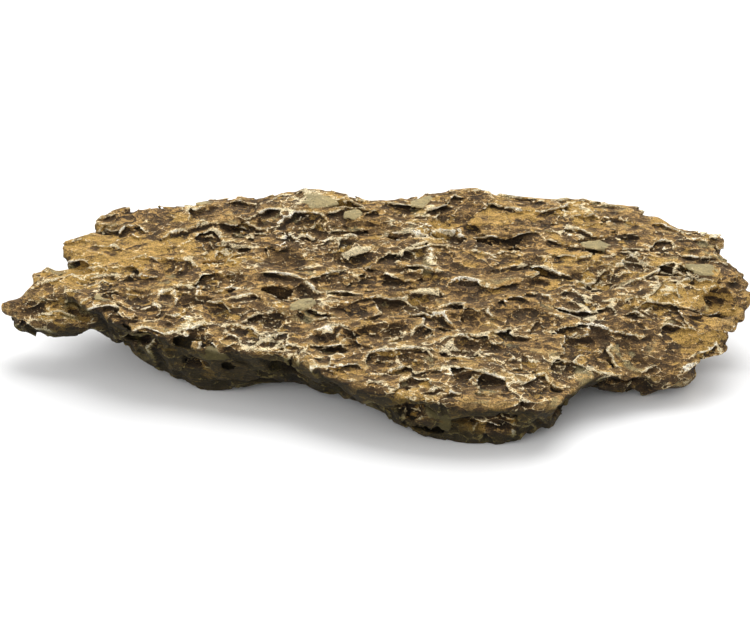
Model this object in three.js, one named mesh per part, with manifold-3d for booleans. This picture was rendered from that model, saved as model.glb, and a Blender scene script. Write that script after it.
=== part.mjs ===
// Dragon stone: one loose slab of clay rock, scooped all over by weathering into sharp-rimmed hollows.
// Millimetres, +Z up. X runs along the slab, its low front rim faces -Y, and it stands at z = 0 on four worn
// feet. The origin is the middle of its bounding box's bottom.
import * as THREE from "three";
import { ImprovedNoise } from "three/addons/math/ImprovedNoise.js";
import { mergeVertices } from "three/addons/utils/BufferGeometryUtils.js";
import Module from "manifold-3d";

// Driving dimensions
const LENGTH = 306; // finished, tip to tip along X; everything below scales with it
const TOP_HEIGHT = 37; // of the slab's top above its feet, at MIDDLE
const TOP_RISE = 0.235; // how much the top climbs towards the back, per mm
const UNDERSIDE = 7; // clearance between the arched underside and what the stone stands on
const MIDDLE = new THREE.Vector2(2, 12);

// The rim, where the top turns over into the flank: x, y, z and how far the flank draws in below it.
// It runs from the left end along the front to the right end, and home along the back.
const RIM = [
  [-143, 30, 36, 12], [-134, 22, 36, 16], [-122, 12, 36, 18], [-113, 1, 34, 20], [-98, -8, 32, 22],
  [-86, -12, 31, 20], [-75, -13, 30, 17], [-67, -18, 29, 19], [-58, -17, 29, 20], [-48, -22, 28, 22],
  [-38, -22, 28, 19], [-28, -28, 27, 17], [-17, -37, 25, 21], [0, -44, 24, 16], [10, -49, 23, 12],
  [22, -51, 22, 9], [38, -53, 22, 9], [50, -52, 21, 7], [61, -50, 19, 5], [70, -43, 17, 4],
  [77, -31, 17, 6], [85, -24, 18, 11], [94, -22, 17, 14], [106, -17, 15, 13], [118, -14, 13, 12],
  [128, -11, 16, 15], [138, -5, 18, 17], [146, 4, 19, 18], [152, 14, 22, 18], [151, 22, 25, 17],
  [158, 27, 27, 20], [152, 31, 29, 18], [157, 34, 31, 20], [148, 42, 36, 16], [143, 48, 38, 14],
  [148, 53, 42, 16], [136, 57, 43, 12], [126, 62, 45, 9], [110, 75, 47, 9], [96, 75, 48, 8],
  [83, 76, 49, 7], [68, 76, 50, 6], [56, 74, 52, 5], [44, 73, 55, 5], [30, 74, 54, 6],
  [12, 71, 52, 7], [-4, 66, 53, 5], [-12, 66, 57, 5], [-29, 67, 59, 6], [-39, 71, 55, 8],
  [-56, 74, 52, 10], [-82, 69, 51, 11], [-99, 66, 50, 12], [-115, 67, 48, 14], [-120, 62, 46, 14],
  [-113, 57, 45, 12], [-132, 46, 42, 14], [-124, 39, 41, 10],
];
const AROUND = 2 * RIM.length; // samples all round the rim

// The body's rings, from the middle of the underside, out, up the flank, over the rim and in to the middle of
// the top. reach is the share of the way out to the rim, or to the flank's foot. drop is 0 at the rim and 1 at
// the flank's foot. A ring keeps one in every so many of the rim's samples, so facets stay alike in size.
const RINGS = [
  { reach: 0, drop: 1, every: AROUND }, { reach: 0.35, drop: 1, every: 8 }, { reach: 0.7, drop: 1, every: 4 },
  { reach: 1, drop: 1, every: 2 }, { reach: 1, drop: 0.55, every: 2 }, { reach: 1, drop: 0.16, every: 1 },
  { reach: 1, drop: 0, every: 1 }, { reach: 0.92, drop: 0, every: 2 }, { reach: 0.8, drop: 0, every: 2 },
  { reach: 0.6, drop: 0, every: 4 }, { reach: 0.4, drop: 0, every: 4 }, { reach: 0.2, drop: 0, every: 8 },
  { reach: 0, drop: 0, every: AROUND },
];
const RIM_BITE = 1.5; // the power that makes the flank draw in slowly at the rim and faster below
const FLANK_RELIEF = 2.4; // how much stronger the relief is at the flank's foot than on the top

// Worn feet, where the underside sinks to what the stone stands on: x, y, reach along x, reach along y, sink.
// What sinks below z = 0 is worn flat.
const FEET = [
  [36, -30, 27, 18, 13], [-66, 14, 24, 20, 13], [110, 6, 20, 18, 20], [6, 56, 34, 18, 13],
];

// Tongues and lumps that stand out of the slab: centre x, y, z, radii, turn about Z and slope along X in degrees
const OUTGROWTHS = [
  { at: [-124, 20, 24], radii: [32, 11, 8], turn: -8, slope: -9 },
  { at: [-133, 24, 30], radii: [13, 8, 6], turn: -14, slope: -12 },
  { at: [118, -4, 11], radii: [13, 9, 8], turn: 8, slope: 0 },
  { at: [133, 7, 22], radii: [16, 10, 7], turn: 16, slope: 0 },
];

// The broad hollows of the top: x, y, length, width, depth and turn in degrees
const TOP_HOLLOWS = [
  [-126, 30, 27, 20, 2.5, -12], [-106, 24, 27, 18, 3, 5], [-97, 8, 27, 17, 3, -5],
  [-82, 24, 32, 20, 3.5, 8], [-78, 6, 30, 16, 3, 2], [-66, 36, 34, 18, 4, 2], [-56, -3, 32, 18, 4, 6],
  [-58, 15, 36, 21, 4, 4], [-52, 50, 34, 17, 3.5, -6], [-34, -9, 34, 18, 4, -6], [-35, 9, 34, 18, 5, 7],
  [-38, 28, 34, 18, 4, -4], [-27, 43, 34, 16, 3.5, 4], [-10, -20, 34, 20, 4, -8], [-12, -3, 34, 18, 4, 2],
  [-12, 14, 32, 17, 4, -3], [-11, 30, 34, 18, 4, 4], [2, 46, 34, 18, 3.5, -5], [10, -33, 39, 20, 4, -4],
  [13, -16, 36, 18, 4, 3], [14, 1, 36, 18, 4, 0], [16, 18, 39, 17, 4, 4], [22, 32, 32, 17, 3.5, -3],
  [40, -41, 34, 17, 3.5, 2], [36, -25, 36, 21, 4, -5], [38, -8, 39, 20, 5, 3], [36, 8, 34, 17, 4, 6],
  [33, 47, 39, 22, 5, 2], [42, 24, 36, 17, 4, -3], [62, -32, 32, 20, 4, 12], [64, -10, 43, 23, 5, 3],
  [62, 14, 36, 17, 4, 8], [62, 41, 36, 17, 3.5, -6], [68, 28, 34, 17, 3.5, -8], [86, 4, 34, 18, 4, 2],
  [90, -11, 32, 17, 3.5, 4], [94, 22, 34, 20, 5, -8], [90, 41, 34, 18, 3.5, -8], [110, 8, 32, 16, 3.5, 6],
  [113, 32, 34, 16, 4, -14], [134, 27, 30, 16, 3.5, -14], [139, 12, 27, 18, 3.5, -8],
];
const TOP_TUCK = 18; // degrees by which a hollow of the top dips towards the back, under its far rim
const HOLLOW_HEIGHT = 0.7; // of the scoop that cuts a hollow of the top, per mm of its width

// Hollows along the flank and under the stone are set out by rule, and each differs a little from the last.
const FLANK_HOLLOWS = { count: 22, size: [16, 8, 7] };
const UNDER_HOLLOWS = { rows: 2, columns: 7, size: [19, 13, 6], pitch: [35, 34] };
const FEET_CLEARANCE = { around: 24, above: 4 }; // what a hollow leaves whole at each foot

// The plain forms of a lump and of the tool that scoops a hollow, each of radius 1. The scoop is round below
// and a low cone above, where it only passes through air.
const BOULDER = new THREE.IcosahedronGeometry(1, 1);
const SCOOP = scoopForm(9, [-1, -0.8, -0.36, 0.12]);

const wasm = await Module();
wasm.setup();
const noise = new ImprovedNoise();
const rim = new THREE.CatmullRomCurve3(RIM.map(([x, y, z]) => new THREE.Vector3(x, y, z)), true);

// Round about Z, with its rings at the given heights on a ball, closed by a cone to the top.
function scoopForm(around, heights) {
  const rings = heights.map((z) => new THREE.Vector2(Math.sqrt(1 - z * z), z));
  return new THREE.LatheGeometry([...rings, new THREE.Vector2(0, 1)], around).rotateX(Math.PI / 2);
}

// A number from 0 to 1 for each whole number, the same every time.
function chance(seed) {
  return THREE.MathUtils.seededRandom(seed * 7919 + 13);
}

function spread(seed, low, high) {
  return THREE.MathUtils.lerp(low, high, chance(seed));
}

// Rock relief, in mm: broad swells and smaller lumps.
function relief(x, y, z) {
  return 1.6 * noise.noise(x / 34, y / 26, z / 22) + 1.0 * noise.noise(x / 13, y / 10, z / 9);
}

// Height of the slab's top: a plane that climbs to the back, sinks to the front right and carries two knolls.
function topHeight(x, y) {
  const plane = TOP_HEIGHT + TOP_RISE * (y - MIDDLE.y) - 4 * (x / 150) ** 2;
  const sunk = 0.0045 * Math.max(0, x - 60) * Math.max(0, 30 - y);
  const knoll = 9 * Math.exp(-(((x + 20) / 27) ** 2) - ((y - 62) / 18) ** 2);
  const lowKnoll = 4 * Math.exp(-(((x - 44) / 20) ** 2) - ((y - 70) / 16) ** 2);
  return plane - sunk + knoll + lowKnoll;
}

// Height of the underside: nearly level, lifting towards both ends and sinking at the feet.
function underHeight(x, y) {
  const left = 17 * THREE.MathUtils.smoothstep(-x, 62, 150);
  const right = 14 * THREE.MathUtils.smoothstep(x, 70, 155);
  let height = UNDERSIDE + left + right;
  for (const [footX, footY, along, across, sink] of FEET) {
    height -= sink * Math.exp(-(((x - footX) / along) ** 2) - ((y - footY) / across) ** 2);
  }
  return height;
}

// A three.js geometry as a solid that can be joined and cut.
function solidOf(geometry) {
  const bare = geometry.clone();
  bare.deleteAttribute("normal");
  bare.deleteAttribute("uv");
  const merged = mergeVertices(bare, 1e-3);
  const triVerts = new Uint32Array(merged.index.array);
  const vertProperties = merged.attributes.position.array;
  return new wasm.Manifold(new wasm.Mesh({ numProp: 3, vertProperties, triVerts }));
}

function geometryOf(solid) {
  const mesh = solid.getMesh();
  const geometry = new THREE.BufferGeometry();
  geometry.setAttribute("position", new THREE.BufferAttribute(mesh.vertProperties, 3));
  geometry.setIndex(new THREE.BufferAttribute(mesh.triVerts, 1));
  return geometry;
}

// A rough ellipsoid: radii in mm, roughness the share by which its surface wanders.
function lump({ at, radii, turn = 0, slope = 0, tuck = 0, roughness = 0.15, form = BOULDER }) {
  const geometry = form.clone();
  const place = geometry.attributes.position;
  const point = new THREE.Vector3();
  for (let i = 0; i < place.count; i += 1) {
    point.fromBufferAttribute(place, i);
    const wander = noise.noise(1.7 * point.x + at[0], 1.7 * point.y + at[1], 1.7 * point.z + at[2]);
    point.multiplyScalar(1 + roughness * 2 * wander);
    place.setXYZ(i, point.x, point.y, point.z);
  }
  geometry.scale(...radii);
  geometry.rotateX(THREE.MathUtils.degToRad(tuck));
  geometry.rotateY(THREE.MathUtils.degToRad(slope));
  geometry.rotateZ(THREE.MathUtils.degToRad(turn));
  geometry.translate(...at);
  return solidOf(geometry);
}

// The slab itself: a turned form of RINGS whose every vertex is then moved to its place in the rock.
function slab() {
  const drawn = new THREE.CatmullRomCurve3(RIM.map((r) => new THREE.Vector3(r[3], 0, 0)), true);
  const profile = RINGS.map((ring, i) => new THREE.Vector2(ring.reach, i));
  const geometry = new THREE.LatheGeometry(profile, AROUND);
  const place = geometry.attributes.position;
  for (let i = 0; i < place.count; i += 1) {
    const ring = RINGS[i % RINGS.length];
    const sample = Math.floor(i / RINGS.length) % AROUND;
    const share = (sample - (sample % ring.every)) / AROUND;
    const spot = ringPoint(rim.getPoint(share), drawn.getPoint(share).x, ring);
    place.setXYZ(i, spot.x, spot.y, spot.z + relief(spot.x, spot.y, spot.z));
  }
  return solidOf(geometry);
}

function ringPoint(edge, drawnIn, { reach, drop }) {
  const inward = new THREE.Vector2(MIDDLE.x + 0.55 * (edge.x - MIDDLE.x) - edge.x, MIDDLE.y - edge.y);
  const lumpiness = FLANK_RELIEF * drop * relief(edge.x, edge.y, drop * edge.z);
  inward.normalize().multiplyScalar(drawnIn * drop ** RIM_BITE + lumpiness);
  const x = MIDDLE.x + (edge.x + inward.x - MIDDLE.x) * reach ** 0.65;
  const y = MIDDLE.y + (edge.y + inward.y - MIDDLE.y) * reach;
  const top = THREE.MathUtils.lerp(topHeight(x, y), edge.z, THREE.MathUtils.smoothstep(reach, 0.7, 1));
  return new THREE.Vector3(x, y, THREE.MathUtils.lerp(top, underHeight(x, y), drop));
}

function sparesFeet({ at: [x, y, z], radii }) {
  const { around, above } = FEET_CLEARANCE;
  return z - radii[2] > above || FEET.every(([footX, footY]) => Math.hypot(x - footX, y - footY) > around);
}

// Hollows of the top sink by their depth, and their floors dip under their far rims.
function topHollow([x, y, length, width, depth, turn]) {
  const height = HOLLOW_HEIGHT * width;
  const centre = topHeight(x, y) + height / 2 - depth;
  return lump({
    at: [x, y, centre], radii: [length / 2, width / 2, height / 2], turn, tuck: -TOP_TUCK, form: SCOOP,
  });
}

// Hollows of the flank sit just under the rim, at differing heights, and look outwards.
function flankHollow(n) {
  const edge = rim.getPointAt((n + spread(n, 0.2, 0.8)) / FLANK_HOLLOWS.count);
  const z = THREE.MathUtils.lerp(underHeight(edge.x, edge.y), edge.z, spread(n + 50, 0.32, 0.68));
  const inset = 0.055 + 0.05 * chance(n + 90);
  const radii = FLANK_HOLLOWS.size.map((size, i) => size * spread(n * 3 + i + 200, 0.7, 1.2));
  const at = [edge.x * (1 - inset), edge.y - Math.sign(edge.y - MIDDLE.y) * 60 * inset, z];
  return { at, radii, turn: spread(n + 300, -14, 14), form: SCOOP };
}

function underHollow(row, column) {
  const { size, pitch, rows, columns } = UNDER_HOLLOWS;
  const n = row * columns + column;
  const x = (column - (columns - 1) / 2 + spread(n + 400, -0.3, 0.3)) * pitch[0];
  const y = 22 + (row - (rows - 1) / 2 + spread(n + 450, -0.25, 0.25)) * pitch[1];
  const radii = size.map((length, i) => length * spread(n * 3 + i + 500, 0.75, 1.2));
  return { at: [x, y, underHeight(x, y) - 1], radii, turn: spread(n + 600, -25, 25), form: SCOOP };
}

function dragonStone() {
  let stone = slab();
  for (const growth of OUTGROWTHS) stone = stone.add(lump(growth));
  for (const hollow of TOP_HOLLOWS) stone = stone.subtract(topHollow(hollow));
  for (let n = 0; n < FLANK_HOLLOWS.count; n += 1) {
    const hollow = flankHollow(n);
    if (sparesFeet(hollow)) stone = stone.subtract(lump(hollow));
  }
  for (let row = 0; row < UNDER_HOLLOWS.rows; row += 1) {
    for (let column = 0; column < UNDER_HOLLOWS.columns; column += 1) {
      const hollow = underHollow(row, column);
      if (sparesFeet(hollow)) stone = stone.subtract(lump(hollow));
    }
  }
  const ground = new THREE.BoxGeometry(2 * LENGTH, 2 * LENGTH, LENGTH);
  ground.translate(0, 0, -LENGTH / 2);
  return stone.subtract(solidOf(ground));
}

// Brings the stone to its length and its origin to the middle of its bounding box's bottom.
function settle(geometry) {
  geometry.computeBoundingBox();
  const scale = LENGTH / (geometry.boundingBox.max.x - geometry.boundingBox.min.x);
  geometry.scale(scale, scale, scale);
  geometry.computeBoundingBox();
  const centre = geometry.boundingBox.getCenter(new THREE.Vector3());
  geometry.translate(-centre.x, -centre.y, -geometry.boundingBox.min.z);
  return geometry;
}

const clay = new THREE.MeshStandardMaterial({ color: 0x8a7350, roughness: 0.9, metalness: 0 });
const stone = new THREE.Mesh(settle(geometryOf(dragonStone())), clay);
stone.name = "dragon_stone";

const part = new THREE.Group();
part.add(stone);

export default part;
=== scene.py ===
"""Dragon stone: the looks of one loose slab of weathered clay rock, carved and coloured inside the CAD solid.

The solid is filled with a fine grid of distances, and the weathering is carved in that grid: torn flakes of
three sizes that overlap like uneven shingles, and between them the hollows, lips and hard plates by which this
stone is known. The grid is then turned back into one mesh, and each of its vertices keeps what its colour
depends on.
"""

import math

import bpy
import numpy as np
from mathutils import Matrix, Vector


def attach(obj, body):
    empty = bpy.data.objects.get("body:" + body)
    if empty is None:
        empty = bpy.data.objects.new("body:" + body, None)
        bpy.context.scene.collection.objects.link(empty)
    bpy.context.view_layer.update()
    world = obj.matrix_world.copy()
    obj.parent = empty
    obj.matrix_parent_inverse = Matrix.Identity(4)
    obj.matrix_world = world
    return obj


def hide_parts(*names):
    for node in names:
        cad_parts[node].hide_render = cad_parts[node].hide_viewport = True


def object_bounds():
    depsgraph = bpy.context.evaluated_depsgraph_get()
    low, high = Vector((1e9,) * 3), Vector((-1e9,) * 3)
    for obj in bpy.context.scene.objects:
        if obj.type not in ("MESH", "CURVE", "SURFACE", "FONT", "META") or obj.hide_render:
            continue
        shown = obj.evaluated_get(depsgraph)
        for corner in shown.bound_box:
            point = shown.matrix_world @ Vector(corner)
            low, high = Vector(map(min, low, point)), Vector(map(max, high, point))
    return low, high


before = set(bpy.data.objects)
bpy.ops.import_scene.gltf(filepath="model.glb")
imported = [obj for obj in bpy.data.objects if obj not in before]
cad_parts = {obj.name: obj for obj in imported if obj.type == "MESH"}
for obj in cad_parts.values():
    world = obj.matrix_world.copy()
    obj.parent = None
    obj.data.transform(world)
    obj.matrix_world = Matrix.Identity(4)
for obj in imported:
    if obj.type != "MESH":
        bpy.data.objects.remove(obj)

import openvdb
from mathutils import Vector

cad_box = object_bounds()

MM = 0.001
VOXEL = 0.5  # mm, the grid that the weathering is carved in
BAND = 5.5  # mm, how far from the surface the grid knows its distance
TRIANGLES = 199000  # of the finished mesh
SEED = 11  # of everything random
BED_CLIMB = 0.235  # how much the rock's beds climb towards the back, per mm
UP_THE_BEDS = np.array([0, -BED_CLIMB, 1]) / math.hypot(1, BED_CLIMB)

rng = np.random.default_rng(SEED)


# ---------------------------------------------------------------- the grid

low = np.array(cad_box[0]) / MM
high = np.array(cad_box[1]) / MM
AIR = 6  # voxels of air round the stone
first = np.floor(low / VOXEL).astype(int) - AIR
cells = np.ceil(high / VOXEL).astype(int) + AIR - first
along = [((first[k] + np.arange(cells[k])) * VOXEL).astype(np.float32) for k in range(3)]
X = along[0][:, None, None]
Y = along[1][None, :, None]
Z = along[2][None, None, :]
corner = tuple(int(v) for v in first)


def solid_distance(node):
    """Distance of each voxel from the CAD solid's surface, in mm, negative inside."""
    mesh = node.data
    mesh.calc_loop_triangles()
    points = np.empty(len(mesh.vertices) * 3, np.float32)
    mesh.vertices.foreach_get("co", points)
    triangles = np.empty(len(mesh.loop_triangles) * 3, np.int32)
    mesh.loop_triangles.foreach_get("vertices", triangles)
    level = openvdb.FloatGrid.createLevelSetFromPolygons(
        points.reshape(-1, 3) / np.float32(MM),
        triangles=triangles.reshape(-1, 3).astype(np.uint32),
        transform=openvdb.createLinearTransform(VOXEL),
        halfWidth=BAND / VOXEL,
    )
    values = np.full(tuple(cells), BAND, np.float32)
    level.copyToArray(values, ijk=corner)
    return values


def meshed(values):
    """The zero surface of a grid: its points in mm, and its faces as quads."""
    grid = openvdb.FloatGrid(BAND)
    grid.transform = openvdb.createLinearTransform(VOXEL)
    grid.copyFromArray(values, ijk=corner)
    points, _, quads = grid.convertToPolygons(0.0, 0.0)
    return points, quads


def softened(sheet, axis, strides):
    """One sheet of the grid, softened along an axis: each round averages voxels that lie a stride apart."""
    sheet = np.moveaxis(sheet, axis, 0).copy()
    for stride in strides:
        mixed = sheet.copy()
        mixed[stride:-stride] *= 0.5
        mixed[stride:-stride] += 0.25 * (sheet[: -2 * stride] + sheet[2 * stride :])
        sheet = mixed
    return np.moveaxis(sheet, 0, axis)


def blur(values, reach):
    """Softens a grid over about reach mm."""
    left = 2 * (reach / VOXEL) ** 2
    strides = [1]
    while left >= 1:
        left -= strides[-1] ** 2
        strides.append(strides[-1] + (left >= 2 * (strides[-1] + 1) ** 2))
    soft = np.empty_like(values)
    for k in range(values.shape[0]):
        soft[k] = softened(softened(values[k], 0, strides[:-1]), 1, strides[:-1])
    for k in range(values.shape[1]):
        soft[:, k] = softened(soft[:, k], 0, strides[:-1])
    return soft


def spline_weights(positions, spacing):
    """Cubic B-spline weights of evenly spaced knots: a matrix of positions by knots."""
    at = (positions - positions[0]) / spacing + 1
    gap = np.abs(at[:, None] - np.arange(int(at[-1]) + 4)[None, :])
    near = 2 / 3 - gap**2 + gap**3 / 2
    far = np.clip(2 - gap, 0, None) ** 3 / 6
    return np.where(gap < 1, near, far).astype(np.float32)


def swell(*spacing):
    """Smooth random relief, mostly within -1 and 1, with lumps about two spacings (x, y, z) long."""
    weights = [spline_weights(along[k], spacing[k]) for k in range(3)]
    values = rng.standard_normal([w.shape[1] for w in weights]).astype(np.float32)
    for w in weights:
        values = np.tensordot(values, w, (0, 1))
    return values / (2 * values.std())


def sample(values, points):
    """Readings of a grid between its voxels, at points in mm."""
    at = np.clip(points / VOXEL - first, 0, cells - 1.001)
    base = at.astype(int)
    part = at - base
    total = np.zeros(len(points))
    for step in np.ndindex(2, 2, 2):
        i, j, k = (base + step).T
        total += np.prod(np.where(step, part, 1 - part), axis=1) * values[i, j, k]
    return total


def outward(values, points):
    """Unit outward normals of a distance grid at points in mm."""
    reach = 2 * VOXEL
    ahead = [sample(values, points + reach * side) for side in np.eye(3)]
    behind = [sample(values, points - reach * side) for side in np.eye(3)]
    normals = np.stack(ahead, 1) - np.stack(behind, 1)
    return normals / np.maximum(np.linalg.norm(normals, axis=1, keepdims=True), 1e-6)


# ---------------------------------------------------------------- what makes this stone itself, in mm

# Hollows of the top that stand out: x, y, length, width, depth, tuck in degrees and turn in degrees
TOP_HOLLOWS = [
    (-39, 2, 15, 9, 4.2, 35, 8),
    (-14, 44, 18, 8, 4.2, 35, -6),
    (5, 11, 22, 8, 3.4, 35, 0),
    (92, 15, 17, 13, 3.2, 20, 0),
    (117, 22, 21, 6, 3.8, 40, -20),
    (-57, 41, 9, 5, 4, 30, 0),
    (56, -13, 33, 20, 3, 14, -6),
    (32, 42, 22, 14, 4, 30, 0),
    (138, 9, 15, 12, 2.2, 7, 8),
    (127, -10, 14, 10, 2.2, 7, 14),
    (3, -25, 22, 14, 3.2, 16, 0),
    (22, -31, 9, 5, 2.2, 20, 8),
    (-73, -6, 18, 13, 3.2, 20, 4),
    (-62, 21, 17, 10, 3.5, 26, 6),
]
# Hollows of the front flank: x, height, length, width, depth and tuck in degrees
FRONT_HOLLOWS = [
    (-73, 27, 22, 8, 6, 45),
    (-78, 20, 13, 8, 3, 10),
    (-57, 17, 9, 5, 4, 20),
    (-46, 13, 12, 6, 4, 20),
    (-35, 24, 10, 6, 5, 15),
    (23, 6, 34, 7, 6, 40),
    (-10, 14, 16, 6, 4, 30),
    (-95, 26, 12, 5, 4, 30),
]
# Smooth grey-green plates of the hardest beds: x, y, length, width, turn, and how far they face the front, in
# degrees
TOP_PLATES = [
    (-30, 46, 26, 15, 8, 30),
    (-32, -12, 22, 5.5, 58, 12),
    (-73, 54, 13, 6, -12, 10),
    (16, 53, 11, 6, 28, 16),
    (90, 31, 12, 7, -6, 14),
    (135, 19, 26, 6, -6, 12),
    (-103, -9, 20, 7, -22, 25),
    (-10, 38, 8, 5, 14, 16),
]
# The same on the front flank: x, height, length, width and turn
FRONT_PLATES = [
    (23, 13, 15, 9, 4),
    (-63, 23, 13, 5, -4),
]
# Long torn lips that face the front: x, y, length and turn
TOP_LIPS = [
    (-76, 9, 30, 32),
    (-48, 25, 38, -14),
    (14, 1, 34, 34),
    (60, 20, 26, 20),
    (87, -9, 30, -28),
    (-4, 27, 24, 10),
]
BED_TILT = 13  # degrees that the beds climb to the back, rounded from BED_CLIMB
PLATE_THICK = 2.6  # of a plate of the top
FRONT_PLATE_THICK = 2
PLATE_PROUD = 1.1  # how far the middle of a top plate stands above the rock round it
LIP_WIDE = 10
LIP_THICK = 2
LIP_TUCK = 22  # degrees
LIP_PALE = 1.2  # how strongly a lip's torn edge shows fresh cream rock


# ---------------------------------------------------------------- weathering


def lay(normal, lean):
    """Directions of a hollow or plate on the surface: along it, across it to the back or up, and out."""
    along_it = lean - normal * (lean @ normal)
    if np.linalg.norm(along_it) < 0.5:
        along_it = np.cross(normal, UP_THE_BEDS)
    along_it /= np.linalg.norm(along_it)
    across = np.cross(normal, along_it)
    if across @ np.array([0, 0.8, 0.6]) < 0:
        across = -across
    return np.array([along_it, across, normal])


def tucked(axes, angle):
    """Tips the far side of a hollow or plate into the rock."""
    length, across, out = axes
    return np.array([
        length,
        across * math.cos(angle) - out * math.sin(angle),
        out * math.cos(angle) + across * math.sin(angle),
    ])


FLAKED = 3.4  # mm, how near the surface flakes are made
CORES = 9973  # how many flakes there are before their shapes come round again
SCATTER = (73, 1259, 17)  # gives flakes side by side cores that lie far apart in the list
TORN_RIM = 0.09  # how wide a flake's torn edge is, as a share of its size
HANDFUL = 60000  # voxels worked on at once
MOVED_ALONG = (0, 97, 211)  # voxels; the same bends serve x, y and z, each from another place
TOOL_BEND = 0.6  # how much of the bends a hollow's or plate's outline takes on


class Stone:
    """The stone while it is carved: its distances, the bends of every tool, and the marks each tool leaves."""

    def __init__(self, values):
        self.values = values
        self.tint = np.full(values.shape, 0.5, np.float32)
        self.chip = np.zeros(values.shape, np.float32)
        self.hue = np.full(values.shape, 0.5, np.float32)
        self.deep = np.full(values.shape, 0.5, np.float32)
        self.lip = np.zeros(values.shape, np.float32)
        broad = 2.8 * swell(15, 11, 9)
        torn = 1.5 * swell(6, 4.5, 4) + 0.55 * swell(2.4, 2, 2)
        self.bend = [np.roll(broad, shift, axis=0) for shift in MOVED_ALONG]
        self.tear = [np.roll(torn, shift, axis=0) for shift in MOVED_ALONG]

    def around(self, centre, radii, axes):
        """The block of voxels round a tool, and their bent offsets along the tool's axes."""
        half = np.sqrt(((axes * radii[:, None]) ** 2).sum(0)) + 4
        start = np.maximum(((centre - half) / VOXEL - first).astype(int), 0)
        stop = np.minimum(((centre + half) / VOXEL - first).astype(int) + 2, cells)
        block = tuple(slice(a, b) for a, b in zip(start, stop))
        offset = [
            grid[block[k]].reshape([-1 if n == k else 1 for n in range(3)]) - centre[k]
            + TOOL_BEND * (self.bend[k][block] + self.tear[k][block])
            for k, grid in enumerate(along)
        ]
        return block, [sum(offset[n] * axes[k][n] for n in range(3)) for k in range(3)]

    def scoop(self, centre, radii, axes, tint):
        """Carves an ellipsoid. axes are the unit directions of its three radii."""
        block, offset = self.around(centre, radii, axes)
        size = np.sqrt(sum((o / r) ** 2 for o, r in zip(offset, radii)))
        steep = np.sqrt(sum((o / r**2) ** 2 for o, r in zip(offset, radii)))
        inside = size * (1 - size) / np.maximum(steep, 1e-6)
        rock = self.values[block]
        self.tint[block] = np.where(inside > rock, tint, self.tint[block])
        np.maximum(rock, inside, out=rock)

    def hollow(self, point, normal, radii, depth, lean, tuck, tint):
        """Scoops a lens that runs in under its far lip and rises gently to its near one."""
        axes = tucked(lay(normal, lean), tuck)
        reach_in = math.hypot(radii[1] * math.sin(tuck), radii[2] * math.cos(tuck))
        self.scoop(point + normal * (reach_in - depth), radii, axes, tint)

    def flake(self, size, dive, step, dish, uneven, lip, tear, much, share):
        """Breaks the surface into overlapping flakes, like uneven shingles that face the front.

        size is their length, width and thickness in mm, and dive the degrees that they dip to the back. The
        other sizes are in mm too: step is how far each one stands out at its front lip over the deep end of
        the next, dish how much its sides curl up, uneven how much their levels differ, and lip how thick the
        torn edge stands. tear is how ragged their outlines are, much how strongly each voxel takes them, and
        share how far their marks replace those of bigger flakes.
        """
        near = np.flatnonzero(np.abs(self.values) < FLAKED)
        cores = rng.uniform(0, 1, (3, CORES)).astype(np.float32)
        marks = rng.uniform(0, 1, (3, CORES)).astype(np.float32)
        sine = np.float32(math.sin(math.radians(dive)))
        cosine = np.float32(math.cos(math.radians(dive)))

        def laid(x, y, z):
            return [x / size[0], (y * cosine - z * sine) / size[1], (y * sine + z * cosine) / size[2]]

        for part in np.array_split(near, 1 + len(near) // HANDFUL):
            spot = np.unravel_index(part, self.values.shape)
            place = laid(*(along[k][spot[k]] + self.bend[k].ravel()[part] for k in range(3)))
            torn = laid(*(self.tear[k].ravel()[part] * tear for k in range(3)))
            place = [p + t for p, t in zip(place, torn)]
            base = [np.floor(p).astype(np.int32) for p in place]
            best = np.full(len(part), 9, np.float32)
            second = best.copy()
            offset = [np.zeros(len(part), np.float32) for _ in range(3)]
            who = np.zeros(len(part), np.int32)
            for way in np.ndindex(3, 3, 3):
                cell = [base[k] + way[k] - 1 for k in range(3)]
                flat = (cell[0] * SCATTER[0] + cell[1] * SCATTER[1] + cell[2] * SCATTER[2]) % CORES
                gap = [place[k] - cell[k] - cores[k][flat] for k in range(3)]
                far = gap[0] ** 2 + gap[1] ** 2 + gap[2] ** 2
                closer = far < best
                second = np.where(closer, best, np.minimum(second, far))
                best = np.where(closer, far, best)
                who = np.where(closer, flat, who)
                offset = [np.where(closer, gap[k], offset[k]) for k in range(3)]
            edge = np.sqrt(second) - np.sqrt(best)
            rim = np.clip(1 - edge / TORN_RIM, 0, 1) * np.clip(0.6 - 1.2 * offset[2], 0, 1)
            relief = step * (offset[2] - torn[2]) - 4 * dish * (offset[0] - torn[0]) ** 2
            relief += uneven * (marks[0][who] - 0.5) - lip * rim
            self.values.ravel()[part] += relief * much.ravel()[part]
            fresh = {"hue": marks[1][who], "tint": marks[2][who], "deep": offset[2] + 0.5}
            for name, mark in fresh.items():
                layer = getattr(self, name).ravel()
                layer[part] = layer[part] * (1 - share) + share * mark
            self.lip.ravel()[part] = np.maximum(self.lip.ravel()[part], rim * much.ravel()[part])

    def plate(self, centre, radii, axes, corners, chip, tint, pale=0):
        """Joins on a thin plate with a ragged outline, radii (length, width, thickness) / 2.

        chip is how hard and smooth it is, and pale how strongly its front edge shows fresh rock.
        """
        block, (u, v, w) = self.around(centre, radii * 1.3, axes)
        plate = np.abs(w) - radii[2]
        for turn, reach in corners:
            side = u * math.cos(turn) + v * math.sin(turn)
            plate = np.maximum(plate, side - reach * math.hypot(
                radii[0] * math.cos(turn), radii[1] * math.sin(turn)
            ))
        rock = self.values[block]
        front_edge = pale * np.clip(0.3 - 1.2 * v / radii[1], 0, 1)
        self.tint[block] = np.where(plate < rock, tint, self.tint[block])
        self.chip[block] = np.where(plate < rock, chip, self.chip[block])
        self.lip[block] = np.where(plate < rock, front_edge, self.lip[block])
        np.minimum(rock, plate, out=rock)


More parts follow.
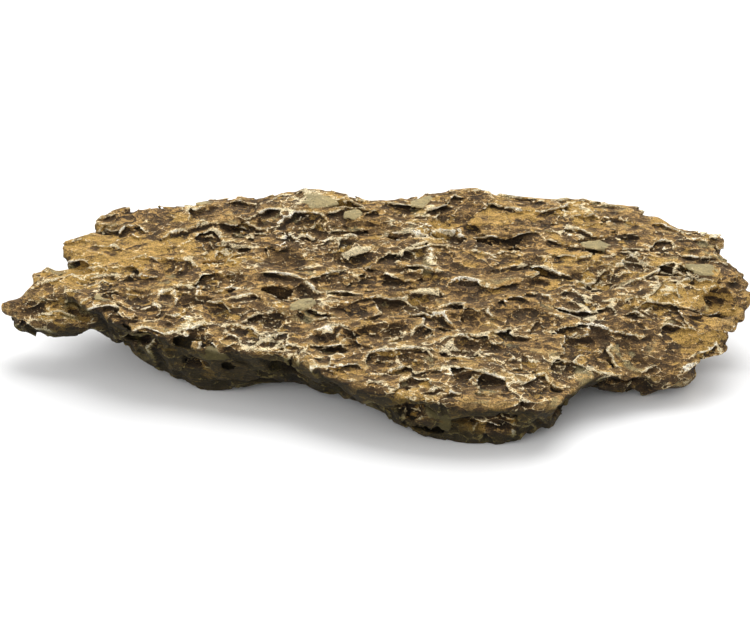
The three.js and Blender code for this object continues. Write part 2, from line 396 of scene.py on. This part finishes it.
def ragged(count):
    """Corners of a flake's outline: directions all round, and how far out each side lies."""
    return [((k + rng.uniform(-0.3, 0.3)) * 2 * math.pi / count, rng.uniform(0.7, 1.1)) for k in range(count)]


def touch(values, start, way):
    """Where a straight probe from start first meets the rock."""
    path = start + np.arange(0, 90, 0.4)[:, None] * way
    return path[np.argmax(sample(values, path) < 0)]


def on_top(broad, x, y, turn):
    """A place on the top: its point, the way out of the rock there, and the way that a tool points."""
    point = touch(broad, np.array([x, y, high[2]]), np.array([0, 0, -1]))
    lean = np.array([math.cos(math.radians(turn)), math.sin(math.radians(turn)), 0])
    return point, outward(broad, point[None])[0], lean


def in_front(broad, x, z, turn):
    """The same for a place on the front flank."""
    point = touch(broad, np.array([x, low[1], z]), np.array([0, 1, 0]))
    lean = np.array([math.cos(math.radians(turn)), 0, math.sin(math.radians(turn))])
    return point, outward(broad, point[None])[0], lean


def signature_hollows(stone, broad):
    """The hollows by which this stone is known. Those of the front are a little darker."""
    for x, y, length, width, depth, tuck, turn in TOP_HOLLOWS:
        point, out, lean = on_top(broad, x, y, turn)
        radii = np.array([length, width, 0.6 * width]) / 2
        stone.hollow(point, out, radii, depth, lean, math.radians(tuck), tint=0.2)
    for x, z, length, width, depth, tuck in FRONT_HOLLOWS:
        point, out, lean = in_front(broad, x, z, 0)
        radii = np.array([length, width, 1.2 * depth]) / 2
        stone.hollow(point, out, radii, depth, lean, math.radians(tuck), tint=0.1)


def signature_plates(stone, broad):
    """The torn lips and the smooth hard plates by which this stone is known."""
    for x, y, length, turn in TOP_LIPS:
        point, out, lean = on_top(broad, x, y, turn)
        radii = np.array([length, LIP_WIDE, LIP_THICK]) / 2
        axes = tucked(lay(out, lean), math.radians(LIP_TUCK))
        stone.plate(point, radii, axes, ragged(8), chip=0.0, tint=0.6, pale=LIP_PALE)
    for x, y, length, width, turn, face in TOP_PLATES:
        point, _, lean = on_top(broad, x, y, turn)
        tip = math.radians(face - BED_TILT)
        out = np.array([0, -math.sin(tip), math.cos(tip)])
        radii = np.array([length, width, PLATE_THICK]) / 2
        corners = ragged(4 + round(length / width))
        stone.plate(point + PLATE_PROUD * out, radii, lay(out, lean), corners, chip=1.0, tint=0.6)
    for x, z, length, width, turn in FRONT_PLATES:
        point, out, lean = in_front(broad, x, z, turn)
        radii = np.array([length, width, FRONT_PLATE_THICK]) / 2
        stone.plate(point, radii, lay(out, lean), ragged(7), chip=1.0, tint=0.6)


HEART_STEPS = (1, 2, 4, 8)  # voxels; their sum is how far each voxel looks for the middle of the rock


def heart_depth(values):
    """Depth of the middle of the rock near each voxel, in mm: small where the rock is thin."""
    deepest = -values
    for step in HEART_STEPS:
        for axis in range(3):
            side = np.moveaxis(deepest, axis, 0)
            wider = side.copy()
            np.maximum(wider[step:], side[:-step], out=wider[step:])
            np.maximum(wider[:-step], side[step:], out=wider[:-step])
            deepest = np.moveaxis(wider, 0, axis)
    return deepest


GROWN = 0.4  # mm that the rock grows all round before it is carved, because carving takes from it
THIN = 4.5  # mm, rock whose middle lies less deep is a thin edge
THIN_GROWN = 0.9  # mm more that the thinnest edges grow
PROUD = 1.4  # mm, the most that anything may stand above the softened rock
KEEL = 3.5  # mm more rock that is kept in the middle of the thick parts
BROAD = 1.3  # mm, how softened the surface is that hollows and plates are placed on
BOX_GAP = 0.05  # mm kept inside the CAD solid's box


def carve_stone(node):
    """Weathers the CAD solid. Gives the carved stone, and its softened distances before carving."""
    solid = solid_distance(node)
    values = blur(np.minimum(solid, blur(solid, 3)), 0.7) - GROWN
    heart = blur(np.clip(heart_depth(values), 0, BAND), 1)
    values -= THIN_GROWN * np.clip(1 - heart / THIN, 0, 1)
    keel = values + 0.5 * heart + KEEL * np.clip(heart / 2 - 1.75, 0, 1)  # nothing is carved deeper
    values += 0.7 * swell(14, 10, 8) + 0.35 * swell(5, 4, 3)
    stone = Stone(values)
    envelope = blur(values, 1)
    room = np.clip(heart / THIN, 0.5, 1)
    stone.flake(
        (16, 13, 9.5), dive=38, step=2.1, dish=1.5, uneven=1.3, lip=0.1, tear=1.05, much=room, share=1.0
    )
    signature_hollows(stone, blur(stone.values, BROAD))
    much = room * np.clip(0.9 + 0.7 * swell(13, 9, 9), 0.3, 1.5)
    stone.flake(
        (8, 7.2, 6), dive=42, step=0.7, dish=0.5, uneven=0.4, lip=0.1, tear=1.05, much=much, share=0.5
    )
    much = room * np.clip(0.8 + 0.8 * swell(11, 8, 8), 0.2, 1.5)
    stone.flake(
        (5, 4.6, 3.2), dive=45, step=0.2, dish=0.15, uneven=0.1, lip=0.05, tear=0.6, much=much, share=0.4
    )
    signature_plates(stone, blur(stone.values, BROAD))
    stone.values = np.clip(stone.values, envelope - PROUD, None)
    stone.values = np.minimum(stone.values, keel)
    stone.values += 0.1 * swell(2.8, 1.7, 1.4) + 0.05 * swell(1.2, 1.0, 1.0)
    box = np.maximum.reduce(np.broadcast_arrays(
        low[0] - X, X - high[0], low[1] - Y, Y - high[1], low[2] - Z, Z - high[2]
    )).astype(np.float32)
    stone.values = np.maximum(stone.values, box + BOX_GAP)
    return stone, envelope


def mesh_object(name, points, quads):
    """A Blender object from points in mm and quads."""
    mesh = bpy.data.meshes.new(name)
    mesh.vertices.add(len(points))
    mesh.vertices.foreach_set("co", (points * MM).astype(np.float32).ravel())
    mesh.loops.add(len(quads) * 4)
    mesh.loops.foreach_set("vertex_index", quads.astype(np.int32).ravel())
    mesh.polygons.add(len(quads))
    mesh.polygons.foreach_set("loop_start", np.arange(0, len(quads) * 4, 4, dtype=np.int32))
    mesh.update(calc_edges=True)
    mesh.validate()
    made = bpy.data.objects.new(name, mesh)
    bpy.context.scene.collection.objects.link(made)
    return made


def largest_body(points, quads):
    """Leaves only the faces of the biggest closed body, so that no crumb floats free."""
    group = np.arange(len(points))
    while True:
        lowest = group[quads].min(1)
        renewed = group.copy()
        for k in range(4):
            np.minimum.at(renewed, quads[:, k], lowest)
        renewed = renewed[renewed]
        if (renewed == group).all():
            break
        group = renewed
    kept = group[quads[:, 0]] == np.bincount(group[quads[:, 0]]).argmax()
    quads = quads[kept]
    used = np.unique(quads)
    place = np.zeros(len(points), int)
    place[used] = np.arange(len(used))
    return points[used], place[quads]


def make_stone(node):
    """The carved stone as one mesh of about TRIANGLES, with what its colours depend on."""
    stone, envelope = carve_stone(node)
    points, quads = meshed(stone.values)
    points, quads = largest_body(points, quads)
    piece = mesh_object("dragon_stone_rock", points, quads)
    thin = piece.modifiers.new("thin", "DECIMATE")
    thin.ratio = min(1.0, TRIANGLES / (2 * len(quads)))
    with bpy.context.temp_override(object=piece, active_object=piece, selected_objects=[piece]):
        bpy.ops.object.modifier_apply(modifier=thin.name)
    mesh = piece.data
    mesh.polygons.foreach_set("use_smooth", np.ones(len(mesh.polygons), bool))
    colour_data(mesh, stone, envelope)
    return piece


# Directions spread over the sky, in degrees: rings of so many directions at each climb
SKY_RINGS = ((20, 8), (45, 6), (72, 3))
SKY = [(climb, turn) for climb, count in SKY_RINGS for turn in np.arange(count) * 360 / count]
SKY_STEPS = (1.2, 2.2, 3.6, 5.5, 8, 12)  # mm, how far out each direction is tried


def openness(values, points):
    """How much of the sky each point sees past the rock round it, 0 to 1."""
    seen = np.zeros(len(points))
    for climb, turn in SKY:
        up = math.radians(climb)
        round_it = math.radians(turn)
        way = np.array([math.cos(up) * math.cos(round_it), math.cos(up) * math.sin(round_it), math.sin(up)])
        blocked = np.zeros(len(points))
        for step in SKY_STEPS:
            blocked = np.maximum(blocked, 0.5 - sample(values, points + way * step) / (0.35 * step))
        seen += 1 - np.clip(blocked, 0, 1)
    return seen / len(SKY)


# Where ochre clay and pale salts gather: x, y, reach along x, reach along y, in mm, and strength
PATCHES = {
    "clay": [
        (-112, 22, 36, 20, 1),
        (31, 41, 15, 6, 0.8),
        (80, 22, 14, 8, 0.9),
        (138, 9, 10, 7, 1.1),
        (127, -10, 10, 7, 1),
        (20, 33, 8, 5, 0.8),
        (92, 50, 28, 9, 0.7),
        (2, 60, 15, 6, 0.8),
        (120, 3, 22, 16, 0.3),
        (-17, 49, 8, 5, 0.9),
        (58, 47, 14, 6, 0.7),
        (-62, 21, 10, 6, 0.7),
    ],
    "salt": [
        (-36, 28, 24, 6, 1),
        (-80, 3, 10, 5, 0.9),
        (17, 37, 5, 6, 1.2),
        (48, 24, 7, 5, 1.2),
        (33, -34, 9, 4, 1),
        (27, -50, 7, 9, 1),
        (54, -48, 5, 9, 1.2),
        (84, -10, 13, 8, 1.1),
        (-12, -40, 22, 6, 0.7),
        (-98, -10, 16, 7, 1),
        (-78, -20, 12, 5, 1),
        (-50, -30, 16, 6, 0.9),
        (130, 42, 10, 5, 0.6),
        (-35, 45, 14, 8, 0.7),
        (78, 35, 12, 4, 0.6),
    ],
}


def gathered(points, places):
    """How strongly each point lies in the places given."""
    total = np.zeros(len(points))
    for x, y, along_x, along_y, strength in places:
        far_x = (points[:, 0] - x) / along_x
        far_y = (points[:, 1] - y) / along_y
        total += strength * np.exp(-(far_x**2) - far_y**2)
    return np.clip(total, 0, 1.3)


def colour_data(mesh, stone, envelope):
    """Stores what the colour depends on at every vertex.

    clay and salt say how much of each has gathered; crest and ridge how far the spot stands out from the rock
    close by and farther round; depth how far the weathering has eaten in; open how much sky it sees; tint, hue
    and deep are the marks of its flake, deep from its lip to its far end; lip is a torn edge, chip a hard
    plate, and flank the stone's sides and underside, less so at the right end.
    """
    points = np.empty(len(mesh.vertices) * 3)
    mesh.vertices.foreach_get("co", points)
    points = points.reshape(-1, 3) / MM
    fine = blur(np.clip(stone.values, -3, 3), 0.55)
    middle = blur(fine, 1.4)
    normals = outward(fine, points)
    flank = 1 - np.clip((outward(blur(envelope, 2), points)[:, 2] + 0.5) / 1.1, 0, 1)
    facts = {
        "crest": sample(fine, points) / 0.5,
        "ridge": sample(middle, points),
        "depth": -sample(envelope, points) / 4,
        "open": openness(stone.values, points + normals * 0.8),
        "tint": sample(stone.tint, points),
        "hue": sample(stone.hue, points),
        "deep": sample(stone.deep, points),
        "lip": sample(stone.lip, points),
        "chip": sample(stone.chip, points),
        "flank": flank * np.clip(1.6 - points[:, 0] / 100, 0.4, 1),
    }
    for name, places in PATCHES.items():
        facts[name] = gathered(points, places) * (1 - 0.8 * flank)
    for name, values in facts.items():
        layer = mesh.attributes.new(name, "FLOAT", "POINT")
        layer.data.foreach_set("value", values.astype(np.float32))


# ---------------------------------------------------------------- material


def linear(hex_colour):
    """An sRGB hex colour as linear RGBA."""
    parts = [int(hex_colour[i : i + 2], 16) / 255 for i in (1, 3, 5)]
    return [p / 12.92 if p <= 0.04045 else ((p + 0.055) / 1.055) ** 2.4 for p in parts] + [1]


def add(tree, kind, settings=(), **links):
    """Adds a node with its settings, and links or sets its inputs by name or place."""
    node = tree.nodes.new(kind)
    for name, value in dict(settings).items():
        setattr(node, name, value)
    for name, value in links.items():
        socket = node.inputs[int(name[1:])] if name[1:].isdigit() else node.inputs[name.replace("_", " ")]
        if isinstance(value, bpy.types.NodeSocket):
            tree.links.new(value, socket)
        else:
            socket.default_value = value
    return node


def weigh(tree, signs, start, **shares):
    """Adds shares of the rock's signs to a start value, each given as the sign's name=(share, its middle)."""
    for name, (share, middle) in shares.items():
        less = add(tree, "ShaderNodeMath", {"operation": "SUBTRACT"}, _0=signs[name], _1=middle).outputs[0]
        start = add(
            tree, "ShaderNodeMath", {"operation": "MULTIPLY_ADD"}, _0=less, _1=share, _2=start
        ).outputs[0]
    return start


def stain(tree, signs, colour, hex_colour, reach, cover, start, blend="MIX", **shares):
    """Lays a colour over another where the rock's signs call for it.

    They are weighed from the sign named start. The stain sets in at the first value of reach, and covers as
    much as cover at the second.
    """
    amount = weigh(tree, signs, signs[start], **shares)
    mask = add(
        tree, "ShaderNodeMapRange", {"interpolation_type": "SMOOTHSTEP"},
        Value=amount, From_Min=reach[0], From_Max=reach[1], To_Max=cover,
    ).outputs[0]
    return add(
        tree, "ShaderNodeMix", {"data_type": "RGBA", "blend_type": blend},
        _0=mask, _6=colour, _7=linear(hex_colour),
    ).outputs[2]


SMALL_DIVE = 32  # degrees that the flakes too small to carve dip to the back


def small_flakes(tree, place, name, size, bend, bend_size):
    """Flakes too small to carve, of a size (length, width, thickness) in mm, with torn outlines.

    Gives their signs: how deep each spot lies behind its lip, 0 to 1, how near it is to a side, whether it is
    on a lip, and two random marks for each flake.
    """
    torn = add(
        tree, "ShaderNodeTexNoise", Vector=place, Scale=1 / (bend_size * MM), Detail=4, Roughness=0.65
    ).outputs["Color"]
    torn = add(tree, "ShaderNodeVectorMath", {"operation": "SUBTRACT"}, _0=torn, _1=(0.5, 0.5, 0.5)).outputs[0]
    bent = add(
        tree, "ShaderNodeVectorMath", {"operation": "MULTIPLY_ADD"}, _0=torn, _1=[2 * bend * MM] * 3, _2=place
    ).outputs[0]
    laid = add(
        tree, "ShaderNodeMapping", {"vector_type": "TEXTURE"}, Vector=bent,
        Rotation=(-math.radians(SMALL_DIVE), 0, 0), Scale=[length * MM for length in size],
    ).outputs[0]
    flake = add(tree, "ShaderNodeTexVoronoi", Vector=laid, Scale=1, Randomness=0.9)
    away = add(tree, "ShaderNodeVectorMath", {"operation": "SUBTRACT"}, _0=laid, _1=flake.outputs["Position"])
    away = add(tree, "ShaderNodeSeparateXYZ", Vector=away.outputs[0]).outputs
    deep = add(tree, "ShaderNodeMath", {"operation": "ADD"}, _0=away[2], _1=0.5).outputs[0]
    side = add(tree, "ShaderNodeMath", {"operation": "MULTIPLY"}, _0=away[0], _1=away[0]).outputs[0]
    edge = add(
        tree, "ShaderNodeTexVoronoi", {"feature": "DISTANCE_TO_EDGE"}, Vector=laid, Scale=1, Randomness=0.9
    ).outputs["Distance"]
    near = add(
        tree, "ShaderNodeMapRange", {"interpolation_type": "SMOOTHSTEP"}, Value=edge, From_Min=0.1, From_Max=0.0
    ).outputs[0]
    upper = add(
        tree, "ShaderNodeMapRange", {"interpolation_type": "SMOOTHSTEP"}, Value=deep, From_Min=0.6, From_Max=0.3
    ).outputs[0]
    lip = add(tree, "ShaderNodeMath", {"operation": "MULTIPLY"}, _0=near, _1=upper).outputs[0]
    marks = add(tree, "ShaderNodeSeparateColor", Color=flake.outputs["Color"]).outputs
    signs = {"deep": deep, "side": side, "lip": lip, "mark": marks[0], "sort": marks[1]}
    return {f"{name}_{sign}": socket for sign, socket in signs.items()}


# Uneven grain of the rock: its size in mm, how many finer sizes it holds, how strong those are, how much it
# swirls, and whether it is drawn out along the beds. The clay's own grains are under 0.06 mm, too fine to show,
# so the grit is drawn about ten times as coarse as they are.
GRAINS = {
    "cloud": (24, 5, 0.6, 0.4, False),
    "rust": (10, 5, 0.65, 0.5, False),
    "bloom": (9, 4, 0.6, 0.0, False),
    "seam": (8, 6, 0.65, 0.5, True),
    "smudge": (6, 6, 0.65, 0.3, True),
    "mottle": (1.8, 5, 0.7, 0.0, True),
    "speck": (1.3, 2, 0.6, 0.0, False),
    "crumb": (1.0, 2, 0.5, 0.2, False),
    "grit": (0.55, 3, 0.75, 0.0, False),
}
BED_STRETCH = (0.55, 0.8, 1.8)  # how many times closer together that grain lies along, across and up the beds
# The rock's ground colours from dark to light, each with its place on the scale of shades
GROUND = ((0.08, "#362918"), (0.28, "#48351c"), (0.48, "#6b5232"), (0.7, "#9c7f4c"), (0.95, "#c8ac78"))


def rock_signs(tree):
    """Everything that tells what has happened to the rock at a spot, by name."""
    stored = ("crest", "ridge", "depth", "open", "tint", "hue", "deep", "lip", "chip", "flank", "clay", "salt")
    signs = {name: add(tree, "ShaderNodeAttribute", {"attribute_name": name}).outputs["Fac"] for name in stored}
    place = add(tree, "ShaderNodeTexCoord").outputs["Object"]
    beds = add(
        tree, "ShaderNodeMapping", Vector=place, Rotation=(-math.atan(BED_CLIMB), 0, 0), Scale=BED_STRETCH
    ).outputs[0]
    for name, (size, finer, strong, swirl, bedded) in GRAINS.items():
        signs[name] = add(
            tree, "ShaderNodeTexNoise", Vector=beds if bedded else place, Scale=1 / (size * MM), Detail=finer,
            Roughness=strong, Distortion=swirl,
        ).outputs["Fac"]
    signs.update(small_flakes(tree, place, "leaf", size=(5, 4.6, 3), bend=0.9, bend_size=3.5))
    signs.update(small_flakes(tree, place, "scale", size=(2.2, 2, 1.4), bend=0.4, bend_size=1.6))
    return signs


def ground_colour(tree, signs):
    """The bare clay rock: dark brown with painted shade where it is deep and sheltered, tan where it lies open.
    """
    # painted shade: open, deep and ridge darken sheltered spots, the deep ends behind lips and the hollows
    shade = weigh(
        tree, signs, 0.295, smudge=(0.8, 0.5), mottle=(0.35, 0.5), ridge=(0.25, 0.0), open=(0.22, 0.45),
        tint=(0.25, 0.5), deep=(-0.25, 0.5), leaf_mark=(0.2, 0.5), scale_mark=(0.1, 0.5),
    )
    ramp = add(tree, "ShaderNodeValToRGB", _0=shade)
    tones = ramp.color_ramp
    for spot, hex_colour in GROUND:
        tone = tones.elements.new(spot)
        tone.color = linear(hex_colour)
    tones.elements.remove(tones.elements[0])
    tones.elements.remove(tones.elements[-1])
    return ramp.outputs["Color"]


def weathered_colour(tree, signs, colour):
    """The stains of the clay, its torn edges and the soil, from the rock outwards."""
    # iron, in the deep and older faces
    colour = stain(
        tree, signs, colour, "#5e4a32", (0.5, 0.6), 0.6, "rust", depth=(0.12, 0.4), grit=(0.15, 0.5),
        clay=(-0.12, 0.2), hue=(-0.25, 0.5), deep=(0.1, 0.5), leaf_sort=(-0.15, 0.5),
    )
    # ochre clay, in whole flakes and along the beds
    colour = stain(
        tree, signs, colour, "#c09a51", (0.5, 0.62), 0.78, "seam", cloud=(0.6, 0.5), clay=(0.3, 0.35),
        grit=(0.1, 0.5), hue=(0.35, 0.5), leaf_sort=(0.15, 0.5), scale_sort=(0.05, 0.5),
    )
    # grey-olive silt, in some flakes
    colour = stain(
        tree, signs, colour, "#a1986f", (0.74, 0.84), 0.5, "tint", smudge=(0.5, 0.5), grit=(0.3, 0.5),
    )
    # paler tan, on what stands out and lies open, less at the deep ends of small flakes
    colour = stain(
        tree, signs, colour, "#b99356", (0.57, 0.72), 0.65, "mottle", crest=(0.25, 0.1), open=(0.2, 0.5),
        smudge=(0.3, 0.5), grit=(0.2, 0.5), leaf_lip=(0.15, 0.1), scale_lip=(0.08, 0.1), leaf_deep=(-0.15, 0.5),
    )
    # the smooth grey-green of the hard plates
    colour = stain(tree, signs, colour, "#a1966f", (0.4, 0.65), 0.75, "chip", mottle=(0.6, 0.5))
    # fresh cream rock, along torn edges and where salts gather
    colour = stain(
        tree, signs, colour, "#dfcfa8", (0.66, 0.75), 0.87, "cloud", crest=(0.35, 0.3), mottle=(0.4, 0.5),
        salt=(0.16, 0.2), grit=(0.25, 0.5), lip=(0.4, 0.1), leaf_lip=(0.25, 0.1), scale_lip=(0.15, 0.1),
        flank=(-0.08, 0.2),
    )
    # chalky white, on the sharpest of them
    colour = stain(
        tree, signs, colour, "#f4ebd6", (0.7, 0.78), 0.95, "bloom", crest=(0.38, 0.5), mottle=(0.6, 0.5),
        salt=(0.25, 0.3), leaf_lip=(0.2, 0.1), scale_lip=(0.1, 0.1),
    )
    # dark mineral specks and pale crumbs
    colour = stain(tree, signs, colour, "#241b11", (0.63, 0.68), 0.5, "speck")
    colour = stain(tree, signs, colour, "#d2bf94", (0.68, 0.72), 0.7, "crumb")
    # an olive film, on the sides
    colour = stain(
        tree, signs, colour, "#7f7753", (0.5, 0.9), 0.35, "flank", cloud=(0.8, 0.5), mottle=(0.8, 0.5),
        leaf_lip=(0.2, 0.1),
    )
    # painted shade in the creases, where the surface curls in
    colour = stain(
        tree, signs, colour, "#2a1c0d", (-0.35, -0.95), 0.4, "crest", mottle=(0.8, 0.5), ridge=(0.2, 0),
    )
    # painted shade, which darkens what sees little sky, and damp with painted shade, which darkens the sides
    colour = stain(
        tree, signs, colour, "#e4dcc6", (0.5, 0.06), 1.0, "open", blend="MULTIPLY", smudge=(0.3, 0.5),
    )
    # damp and painted shade on the sides and underside, which face away from the lamps
    return stain(
        tree, signs, colour, "#7a775a", (0.12, 0.75), 1.0, "flank", blend="MULTIPLY", cloud=(0.8, 0.5),
        smudge=(0.4, 0.5), crest=(-0.12, 0),
    )


def clay_rock():
    """Silty clay rock, unsealed, weathered in clay soil and then dug out and brushed clean.

    Its torn surface is matt, with almost no highlight. Brushing bares fresh cream rock along the torn edges,
    and painted shade darkens the creases, so each flake reads as a pale line over a dark brown floor. Only the
    hard plates are smoother. The top is dry, and the sides are darker, partly from damp and partly from painted
    shade.
    """
    material = bpy.data.materials.new("clay_rock")
    material.use_nodes = True
    tree = material.node_tree
    shader = tree.nodes["Principled BSDF"]
    shader.inputs["Roughness"].default_value = 0.85
    shader.inputs["Specular IOR Level"].default_value = 0.3
    signs = rock_signs(tree)
    colour = weathered_colour(tree, signs, ground_colour(tree, signs))

    # grain of the grit, and painted shade at the deep ends and painted highlight on the lips of the small
    # flakes, less so on the hard plates
    grain_and_painted_light = weigh(
        tree, signs, 1.0, grit=(4.0, 0.5), mottle=(1.0, 0.5), leaf_deep=(-0.3, 0.5), scale_deep=(-0.3, 0.5),
        leaf_lip=(0.3, 0.1), scale_lip=(0.3, 0.1), scale_mark=(0.2, 0.5),
    )
    rough = add(
        tree, "ShaderNodeMath", {"operation": "MULTIPLY_ADD"}, _0=signs["chip"], _1=-0.75, _2=1.0
    ).outputs[0]
    grain_and_painted_light = add(tree, "ShaderNodeMix", {"data_type": "FLOAT"}, _0=rough, _2=1.0, _3=grain_and_painted_light).outputs[0]
    grain_and_painted_light = add(tree, "ShaderNodeClamp", Value=grain_and_painted_light, Min=0.35, Max=1.6).outputs[0]
    colour = add(tree, "ShaderNodeVectorMath", {"operation": "SCALE"}, _0=colour, Scale=grain_and_painted_light).outputs[0]
    tree.links.new(colour, shader.inputs["Base Color"])

    # their height in mm
    relief = weigh(
        tree, signs, 0.0, leaf_deep=(-0.5, 0), leaf_side=(1.1, 0), leaf_lip=(0.2, 0), scale_deep=(-0.25, 0),
        scale_side=(0.4, 0), scale_lip=(0.1, 0), mottle=(0.4, 0.5), grit=(0.4, 0.5), smudge=(0.5, 0.5),
        leaf_mark=(0.2, 0), scale_mark=(0.1, 0),
    )
    relief = add(tree, "ShaderNodeMath", {"operation": "MULTIPLY"}, _0=relief, _1=rough).outputs[0]
    bump = add(tree, "ShaderNodeBump", Strength=1.0, Distance=MM, Height=relief)
    tree.links.new(bump.outputs[0], shader.inputs["Normal"])
    return material


# ---------------------------------------------------------------- the stage, in metres

PAPER_SIDE = 6
SKY_STRENGTH = 0.76
LAMP_SIDE = 0.9
# Square lamps aimed at the middle of the frame: place, and power in watts
LAMPS = {
    "key": ((0.1, 0.45, 0.9), 9),
    "fill": ((-0.5, -0.9, 0.5), 4),
}
LENS = 80  # mm
SENSOR = 36  # mm
CAMERA_CLIMB = math.radians(27)
CAMERA_AIM = Vector((-0.0011, -0.0113, 0.0293))
CAMERA_DISTANCE = 0.6544


def pale_paper():
    """Uncoated near-white paper: quite matt, so that it shows only the stone's soft shadow."""
    material = bpy.data.materials.new("pale_paper")
    material.use_nodes = True
    shader = material.node_tree.nodes["Principled BSDF"]
    shader.inputs["Base Color"].default_value = (0.9, 0.9, 0.9, 1)
    shader.inputs["Roughness"].default_value = 1
    return material


def floor_and_sky():
    bpy.ops.mesh.primitive_plane_add(size=PAPER_SIDE, location=(0, 0, 0))
    floor = bpy.context.object
    floor.name = "floor"
    floor.data.materials.append(pale_paper())
    world = bpy.data.worlds.new("studio")
    bpy.context.scene.world = world
    world.use_nodes = True
    sky = world.node_tree.nodes["Background"]
    sky.inputs["Color"].default_value = (1, 1, 1, 1)
    sky.inputs["Strength"].default_value = SKY_STRENGTH


def lamp(name, place, power):
    light = bpy.data.lights.new(name, "AREA")
    light.size = LAMP_SIDE
    light.energy = power
    holder = bpy.data.objects.new(name, light)
    holder.location = place
    holder.rotation_mode = "QUATERNION"
    holder.rotation_quaternion = (-Vector(place)).to_track_quat("-Z", "Y")
    bpy.context.scene.collection.objects.link(holder)


def camera():
    lens = bpy.data.cameras.new("camera")
    lens.lens = LENS
    lens.sensor_width = SENSOR
    holder = bpy.data.objects.new("camera", lens)
    back = Vector((0, -math.cos(CAMERA_CLIMB), math.sin(CAMERA_CLIMB)))
    holder.location = CAMERA_AIM + back * CAMERA_DISTANCE
    holder.rotation_mode = "QUATERNION"
    holder.rotation_quaternion = (-back).to_track_quat("-Z", "Y")
    bpy.context.scene.collection.objects.link(holder)
    bpy.context.scene.camera = holder


camera()
floor_and_sky()
for name, (place, power) in LAMPS.items():
    lamp(name, place, power)
stone = make_stone(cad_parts["dragon_stone"])
stone.data.materials.append(clay_rock())
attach(stone, "root")
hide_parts("dragon_stone")
bpy.context.scene.view_settings.view_transform = "Standard"
